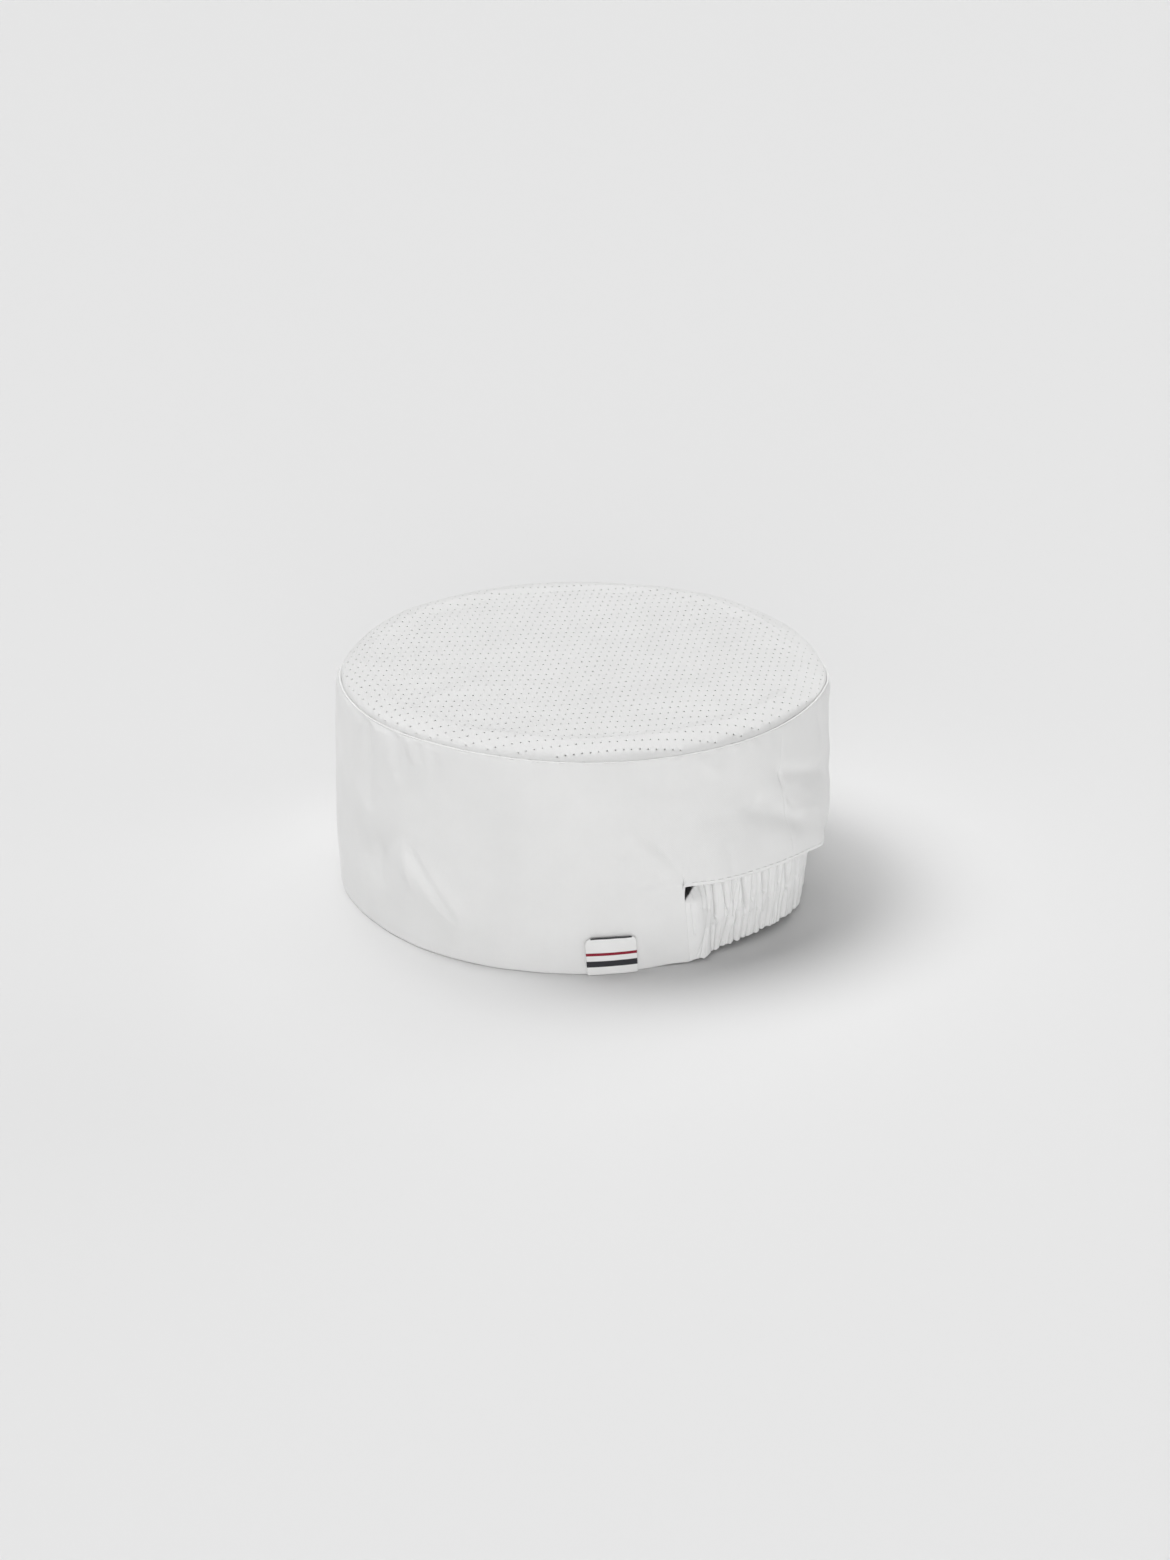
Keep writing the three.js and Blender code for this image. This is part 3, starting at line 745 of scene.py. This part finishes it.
# The pierced cloth: brick-like cells, each with eight points round its sides and eight round its
# hole. Cells near the seam have no hole, and the last ones end on a line just past it.
def makeCrown():
    random = np.random.default_rng(4)
    lastRow, lastColumn = crownLook["rowsOut"], crownLook["columnsOut"]
    rows, columns = np.meshgrid(
        np.arange(-lastRow, lastRow + 1), np.arange(-lastColumn, lastColumn + 1)
    )
    centre = np.stack([2 * columns.ravel() + rows.ravel() % 2, 2 * rows.ravel()], axis=-1)
    around = np.array([(-1, -1), (0, -1), (1, -1), (1, 0), (1, 1), (0, 1), (-1, 1), (-1, 0)])
    step = np.array([crownLook["across"] / 2, crownLook["down"] / 2])
    # Image right is (-0.643, 0.766) in the row frame; the lattice is turned from it.
    turn = math.atan2(0.766, -0.643) + math.radians(crownLook["turn"])
    turned = np.array([[math.cos(turn), math.sin(turn)], [-math.sin(turn), math.cos(turn)]])
    keys = centre[:, None, :] + around[None, :, :]
    place = (keys * step) @ turned
    margin = crownLook["margin"]
    outside = np.hypot(place[..., 0], place[..., 1]) >= seamReach(place) + margin
    kept = ~outside.all(axis=1)
    keys, outside, centre = keys[kept], outside[kept], centre[kept]
    middle = (centre * step) @ turned
    reach = np.hypot(middle[:, 0], middle[:, 1])
    pierced = (reach < seamReach(middle) - margin) & ~outside.any(axis=1)
    known, cellPoints = np.unique(keys.reshape(-1, 2), axis=0, return_inverse=True)
    cellPoints = cellPoints.reshape(-1, 8)
    flat = (known * step) @ turned
    far = np.hypot(flat[:, 0], flat[:, 1])
    edge = seamReach(flat) + margin
    flat = flat * np.minimum(1, edge / far.clip(1e-6))[:, None]
    points = ontoCrown(flat[:, 0], flat[:, 1])
    # Holes: eight points each, of uneven size and roundness.
    holes = middle[pierced]
    count = len(holes)
    ring = np.radians(-135 + 45 * np.arange(8))
    size = crownLook["hole"] * (1 + crownLook["holeVariation"] * random.normal(size=(count, 1)))
    size = size * (1 + crownLook["holeRoughness"] * random.normal(size=(count, 8)))
    long = size * crownLook["holeStretch"]
    offset = np.stack([np.cos(ring) * size, np.sin(ring) * long], axis=-1) @ turned
    shift = random.normal(size=(count, 1, 2)) * crownLook["holeShift"]
    holeFlat = (holes[:, None, :] + offset + shift).reshape(-1, 2)
    holePoints = ontoCrown(holeFlat[:, 0], holeFlat[:, 1])
    holeIndex = np.arange(count * 8).reshape(count, 8) + len(points)
    outerRing = cellPoints[pierced]
    quads = np.stack(
        [outerRing, np.roll(outerRing, -1, 1), np.roll(holeIndex, -1, 1), holeIndex], axis=-1
    ).reshape(-1, 4)
    # Whole cells: eight triangles about the middle of their own points.
    plain = cellPoints[~pierced]
    plainFlat = flat[plain].mean(axis=1)
    plainPoints = ontoCrown(plainFlat[:, 0], plainFlat[:, 1])
    hub = np.arange(len(plain)) + len(points) + count * 8
    fans = np.stack(
        [plain, np.roll(plain, -1, 1), np.broadcast_to(hub[:, None], plain.shape)], axis=-1
    ).reshape(-1, 3)
    points = np.concatenate([points, holePoints, plainPoints])
    flat = np.concatenate([flat, holeFlat, plainFlat])
    # The outer edge: directed sides of cells that no other cell shares, turned down as the
    # allowance.
    sides = np.stack([cellPoints, np.roll(cellPoints, -1, 1)], axis=-1).reshape(-1, 2)
    code = sides[:, 0] * len(points) + sides[:, 1]
    back = sides[:, 1] * len(points) + sides[:, 0]
    free = sides[~np.isin(code, back)]
    ends = np.unique(free)
    place = np.searchsorted(ends, free)
    faces = [quads, fans]
    upper, total = free, len(points)
    extra, extraFlat = [], []
    for drop in (crownLook["allowance"] / 2, crownLook["allowance"]):
        extra.append(points[ends] - np.array([0, 0, drop]))
        extraFlat.append(flat[ends] * (1 + drop / crownLook["flatRadius"]))
        lower = place + total
        total += len(ends)
        faces.append(np.stack([upper[:, 1], upper[:, 0], lower[:, 0], lower[:, 1]], axis=-1))
        upper = lower
    crown = makeObject(
        "crownMesh",
        np.concatenate([points, *extra]),
        faces,
        np.concatenate([flat, *extraFlat]) @ turned.T,
    )
    # Sharp rims keep each hole's wall from shading the cloth round it.
    ends = np.empty(len(crown.data.edges) * 2, np.int32)
    crown.data.edges.foreach_get("vertices", ends)
    isRim = (ends >= holeIndex.min()) & (ends <= holeIndex.max())
    rims = crown.data.attributes.new("sharp_edge", "BOOLEAN", "EDGE")
    rims.data.foreach_set("value", isRim.reshape(-1, 2).all(axis=1))
    shell = crown.modifiers.new("cloth", "SOLIDIFY")
    shell.thickness = crownLook["wall"] * toMetres
    shell.offset = -1
    shell.use_even_offset = False
    dress(crown, clothMaterial("crownNet", crownLook["material"]), "crown_mesh")
    return crown


stripLook = {
    "wall": 1.3,
    "columns": 700,
    "rows": 64,
    "halfAngle": 29.6,
    "pleats": 22,
    "ridge": 0.42,
    "slit": 2.0,
    "ripple": 0.2,
    "rippleSize": 3.0,
    "standOff": 0.3,
    # The scalloped foot: the gathers' share, the waves' share and size, and its height over
    # the run's lift and over the floor.
    "scallopGathers": 0.5,
    "scallopWaves": 0.35,
    "scallopSize": 5.0,
    "footLift": 0.45,
    "footLeast": 0.12,
    "top": 45.0,
    "corner": 25.2,
    "climb": 1.4,
    # Its seat inside the band's outer face, and how far its near end reaches into the band's
    # thinned wall there.
    "seatInset": 1.75,
    "endReach": 0.1,
    # The share of the folds left at the near end, and of the gathers in the wall.
    "endFolds": 0.3,
    "wallGathers": 0.3,
    "fullness": 1.55,
    "material": {
        # Painted light: both shades are set lighter than the band's cloth, making up for the shade
        # in the gathers.
        "darker": (0.79, 0.79, 0.785),
        "lighter": (0.87, 0.87, 0.865),
        "mottleScale": 90,
        "roughness": 0.88,
        "sheen": 0.25,
        "texture": "weave",
        "pitch": 0.0004,
        "bump": 0.35,
    },
}

# Deep valleys between the gathers: angle, height, toAngle, toHeight, width, out.
stripSlits = [
    (19.4, 31, 18.0, 15, 0.4, -1.3),
    (11.2, 31, 9.4, 16, 0.45, -1.7),
    (4.6, 31, 3.4, 19, 0.5, -1.4),
    (-3.3, 31, -6.2, 15, 0.5, -1.4),
    (21.5, 31, 20.8, 20, 0.4, -0.9),
    (17.0, 31, 15.0, 18, 0.4, -0.9),
    (25.8, 24, 24.6, 12, 0.5, -1.2),
    (21.5, 12, 23.1, 0, 0.5, -1.2),
    (19.3, 12, 19.2, 0, 0.5, -1.4),
    (14.4, 13, 16.1, 1, 0.5, -1.1),
    (11.6, 14.5, 11.8, 1, 0.5, -1.2),
    (7.6, 12, 8.3, 2, 0.45, -0.9),
    (1.2, 14, 2.2, 2, 0.45, -1.0),
    (-1.0, 30, -1.8, 20, 0.4, -0.9),
    (-5.2, 13, -4.4, 2, 0.45, -1.0),
    (-9.0, 31, -10.6, 17, 0.5, -1.2),
    (-12.2, 14, -11.6, 1, 0.45, -1.1),
    (-15.4, 31, -16.4, 18, 0.5, -1.2),
    (-18.6, 13, -18.0, 1, 0.45, -1.1),
    (-21.8, 31, -22.4, 15, 0.5, -1.1),
    (22.9, 31, 22.6, 22, 0.3, -0.7),
    (13.9, 31, 13.3, 20, 0.3, -0.8),
    (12.6, 26, 13.0, 14, 0.3, -0.7),
    (8.2, 31, 7.6, 18, 0.3, -0.9),
    (6.4, 28, 5.6, 14, 0.3, -0.6),
    (2.4, 31, 1.6, 16, 0.3, -0.9),
    (22.3, 9, 24.2, 1, 0.3, -0.8),
    (17.6, 12, 18.0, 1, 0.3, -0.9),
    (13.2, 9, 14.0, 1, 0.3, -0.8),
    (9.7, 11, 10.0, 1, 0.3, -0.9),
    (5.4, 12, 5.9, 1, 0.3, -0.9),
    (3.6, 10, 4.1, 1, 0.3, -0.7),
]


# Valleys between the gathers: out * 2^-(distance / width), which is sharp at its bottom, along
# each line of the table.
def slitSum(angle, height):
    total = 0.0
    for fromAngle, fromHeight, toAngle, toHeight, width, out in stripSlits:
        alongX = (toAngle - fromAngle) * arcPerDegree
        alongY = toHeight - fromHeight
        x = (angle - fromAngle) * arcPerDegree
        y = height - fromHeight
        share = np.clip((x * alongX + y * alongY) / (alongX**2 + alongY**2), 0, 1)
        away = np.hypot(x - share * alongX, y - share * alongY) / width
        total = total + out * 2.0**-away
    return total


# Gathers: soft ridges |sin| whose phase drifts along the strip and up it, with finer ones
# towards the lower edge.
def gathers(angle, height):
    share = height / hemHeight
    turn = np.radians(angle)
    drift = 1.3 * np.sin(turn * 9) + 0.8 * np.sin(turn * 23 + share * 2.4)
    phase = angle / 60 * stripLook["pleats"] * math.pi + drift + 0.9 * np.sin(share * 2.6)
    broad = np.abs(np.sin(phase)) - 0.6
    fine = np.abs(np.sin(phase * 2.3 + 1.7 * np.sin(turn * 14 - share))) - 0.6
    return broad + fine * (0.36 - 0.16 * smoothStep(share, 0.2, 0.8))


# The strip's top edge: sewn inside the band, and falling away at its near corner.
def stripTopAt(angle):
    climb = stripLook["corner"] + np.maximum(notchHalfAngle - angle, 0) * stripLook["climb"]
    return np.minimum(stripLook["top"], climb)


def makeStrip():
    halfAngle = stripLook["halfAngle"]
    angle = np.linspace(-halfAngle, halfAngle, stripLook["columns"])[:, None]
    arc = angle * arcPerDegree
    share = np.linspace(0, 1, stripLook["rows"])[None, :]
    lift = tableValue(stripRun, "angle", "lift", angle)
    scallop = stripLook["scallopGathers"] * gathers(angle, 0 * angle)
    wavy = waves(arc, 0, stripLook["scallopSize"], 31)
    scallop = scallop + stripLook["scallopWaves"] * wavy
    foot = np.maximum(lift + stripLook["footLift"] + scallop, stripLook["footLeast"])
    foot = foot + stripLook["wall"] / 2
    height = foot + (stripTopAt(angle) - foot) * share
    low = tableValue(stripRun, "angle", "low", angle)
    high = tableValue(stripRun, "angle", "high", angle)
    folds = stripLook["ridge"] * gathers(angle, height)
    folds = folds + stripLook["slit"] * slitSum(angle, height)
    ripple = waves(arc, height * 0.15, stripLook["rippleSize"], 37)
    folds = folds + stripLook["ripple"] * ripple
    radius = low + (high - low) * height / hemHeight + folds + stripLook["standOff"]
    nearEnd = notchHalfAngle - leanAt(height)
    # Close under the hem and at the far end it goes no further out than its seat.
    seat = bandRadius(angle, height) - stripLook["seatInset"]
    seated = smoothStep(height, hemHeight - 4, hemHeight - 2)
    farEnd = smoothStep(-angle, notchHalfAngle - 2.6, notchHalfAngle - 0.6)
    seated = np.maximum(seated, farEnd)
    radius = radius + (np.minimum(radius, seat) - radius) * seated
    # Its near end comes out to the band's edge, just behind it.
    flush = bandRadius(angle, height) - bandLook["notchWall"] + stripLook["endReach"]
    dents = stripLook["endFolds"] * np.minimum(folds, 0)
    flush = flush + dents * (1 - smoothStep(angle, nearEnd - 0.8, nearEnd + 0.4))
    ending = smoothStep(angle, nearEnd - 8, nearEnd - 0.4) * (1 - smoothStep(height, 24, 31))
    radius = radius + (flush - radius) * ending
    wall = stripLook["wall"] + stripLook["wallGathers"] * gathers(angle, height)
    along = np.broadcast_to(arc * stripLook["fullness"], height.shape)
    flat = np.stack([along, height], axis=-1)
    outer = onCap(angle, radius, height)
    inner = onCap(angle, radius - wall, height)
    strip = makeWall("elasticStrip", outer, inner, flat, False)
    material = clothMaterial("gatheredCloth", stripLook["material"])
    dress(strip, material, "elastic_strip")
    return strip


labelLook = {
    "angle": 43.7,
    "width": 18.6,
    "height": 15.6,
    "corner": 2.4,
    "wall": 0.7,
    "standOff": 0.6,
    "seatGap": 0.35,
    "floorGap": 0.15,
    "lean": 0.9,
    "ripple": 0.12,
    "rippleSize": 12.0,
    "material": {
        "darker": (0.8, 0.8, 0.79),
        "lighter": (0.86, 0.86, 0.855),
        "mottleScale": 120,
        "roughness": 0.7,
        "sheen": 0.15,
        "texture": "weave",
        "pitch": 0.0003,
        "bump": 0.3,
        "stripes": [
            (0.0047, 0.0012, (0.03, 0.03, 0.035)),
            (0.0087, 0.0006, (0.26, 0.012, 0.03)),
            # Painted shade: a thin dark line along the top edge, standing in for the shadow in the
            # gap under the label's free top edge.
            (0.0153, 0.0002, (0.05, 0.05, 0.055)),
        ],
    },
}


# A folded tab: straight sides, rounded top corners (quarter circles), its top standing away.
def makeLabel():
    half = labelLook["width"] / 2 - labelLook["wall"] / 2
    along = (half * np.sin(np.linspace(-math.pi / 2, math.pi / 2, 61)))[:, None]
    share = np.linspace(0, 1, 40)[None, :]
    pastCorner = np.clip(1 - (half - np.abs(along)) / labelLook["corner"], 0, 1)
    top = labelLook["height"] - labelLook["wall"] / 2
    top = top - labelLook["corner"] * (1 - np.sqrt(np.clip(1 - pastCorner**2, 0, 1)))
    foot = labelLook["floorGap"] + labelLook["wall"] / 2
    height = foot + (top - foot) * share
    angle = labelLook["angle"] + (along + labelLook["lean"] * (share - 0.3)) / arcPerDegree
    ripple = labelLook["ripple"] * waves(along, height, labelLook["rippleSize"], 41)
    lifted = labelLook["standOff"] * share**2 + ripple * share
    face = bandRadius(angle, height) + bandRelief(angle, height)
    seat = face + labelLook["seatGap"] + lifted
    flat = np.stack([np.broadcast_to(along, height.shape), height], axis=-1)
    label = makeWall(
        "edgeLabel",
        onCap(angle, seat + labelLook["wall"], height),
        onCap(angle, seat, height),
        flat,
        False,
    )
    dress(label, clothMaterial("wovenTape", labelLook["material"]), "edge_label")
    return label


stitchLook = {
    "length": 2.2,
    "pitch": 3.1,
    "thickness": 0.42,
    "aboveEdge": 1.6,
    "proud": 0.1,
    "endMargin": 1.5,
}


# Stitches along the hem: each is a small spindle, eight rings of six points, whose thickness is
# sqrt(1 - t^4) along its length t from -1 to 1, laid on the band's face.
def makeStitches():
    reach = (notchHalfAngle - stitchLook["endMargin"]) * arcPerDegree
    starts = np.arange(-reach, reach, stitchLook["pitch"])
    t = np.sin(np.linspace(-math.pi / 2, math.pi / 2, 9)) * 0.999
    around = np.radians(np.arange(6) * 60)
    arc = starts[:, None] + (t * stitchLook["length"] / 2)[None, :]
    height = np.full_like(arc, hemHeight + stitchLook["aboveEdge"])
    angle = arc / arcPerDegree
    radius = bandRadius(angle, height) + bandRelief(angle, height) + stitchLook["proud"]
    thick = stitchLook["thickness"] / 2 * np.sqrt(1 - t**4)[None, :, None]
    ringOut = thick * np.cos(around)[None, None, :]
    ringUp = thick * np.sin(around)[None, None, :]
    points = onCap(
        angle[..., None] + 0 * ringOut, radius[..., None] + ringOut, height[..., None] + ringUp
    )
    stitches, rings, sides = points.shape[:3]
    index = np.arange(stitches * rings * sides).reshape(stitches, rings, sides)
    near, far = index[:, :-1], index[:, 1:]
    quads = np.stack(
        [near, np.roll(near, -1, 2), np.roll(far, -1, 2), far], axis=-1
    ).reshape(-1, 4)
    ends = [index[:, 0, ::-1].reshape(-1, 6), index[:, -1, :].reshape(-1, 6)]
    flat = np.zeros((points.size // 3, 2))
    thread = makeObject("hemStitches", points.reshape(-1, 3), [quads, *ends], flat)
    dress(thread, clothMaterial("thread", bandLook["material"]), None)
    return thread


makeBand()
print("side band made")
makeCrown()
print("crown made")
makeStrip()
print("elastic strip made")
makeLabel()
makeStitches()
print("label and stitches made")

stageLook = {
    "floor": (0.742, 0.742, 0.742),
    "floorReach": 40,
    "sky": 0.06,
    "camera": (0.8279, 0.6924, 0.4934),
    "target": (-0.0003, -0.0025, 0.0367),
    "lens": 70.27,
    # The level direction from the cap to the camera, (x, y).
    "cameraWay": (0.7057, 0.5921),
    # Each sun: side (degrees left of the camera), lift (degrees), strength, softness (degrees).
    "suns": [
        ("key", 105, 62, 1.19, 32),
        ("keyBack", 138, 67, 0.94, 34),
        ("back", -170, 58, 0.7, 40),
        ("front", 0, 6, 1.52, 36),
        ("leftFront", 38, 7, 0.34, 40),
        ("lowRight", -88, 4, 0.3, 16),
        ("rightBack", -137, 7, 0.75, 40),
        ("rightFront", -55, 28, 0.38, 60),
        ("frontHigh", 0, 30, 0.2, 60),
    ],
}
scene = bpy.context.scene
floorMesh = bpy.data.meshes.new("floor")
far = stageLook["floorReach"]
floorCorners = [(-far, -far, 0), (far, -far, 0), (far, far, 0), (-far, far, 0)]
floorMesh.from_pydata(floorCorners, [], [(0, 1, 2, 3)])
floor = bpy.data.objects.new("floor", floorMesh)
scene.collection.objects.link(floor)
floorMaterial = bpy.data.materials.new("floor")
floorMaterial.use_nodes = True
floorSurface = floorMaterial.node_tree.nodes["Principled BSDF"]
floorSurface.inputs["Base Color"].default_value = (*stageLook["floor"], 1)
floorSurface.inputs["Roughness"].default_value = 0.9
floorSurface.inputs["Specular IOR Level"].default_value = 0.1
floorMesh.materials.append(floorMaterial)

world = bpy.data.worlds.new("studio")
scene.world = world
world.use_nodes = True
sky = world.node_tree
background = sky.nodes["Background"]
background.inputs["Strength"].default_value = stageLook["sky"]
background.inputs["Color"].default_value = (1, 1, 1, 1)

# The camera looks at the middle of the cap as the photo does, and every sun's bearing is
# measured from it.
target = Vector(stageLook["target"])
camera = bpy.data.objects.new("camera", bpy.data.cameras.new("camera"))
camera.data.lens = stageLook["lens"]
camera.data.sensor_width = 36
camera.location = stageLook["camera"]
camera.rotation_euler = (target - camera.location).to_track_quat("-Z", "Y").to_euler()
scene.collection.objects.link(camera)
scene.camera = camera

wayX, wayY = stageLook["cameraWay"]
for name, side, lift, strength, softness in stageLook["suns"]:
    bearing = math.atan2(wayY, wayX) - math.radians(side)
    level = math.cos(math.radians(lift))
    way = Vector(
        (math.cos(bearing) * level, math.sin(bearing) * level, math.sin(math.radians(lift)))
    )
    sun = bpy.data.objects.new(name, bpy.data.lights.new(name, "SUN"))
    sun.data.energy = strength
    sun.data.angle = math.radians(softness)
    sun.rotation_euler = way.to_track_quat("Z", "Y").to_euler()
    scene.collection.objects.link(sun)
scene.view_settings.view_transform = "Standard"
print("stage made")
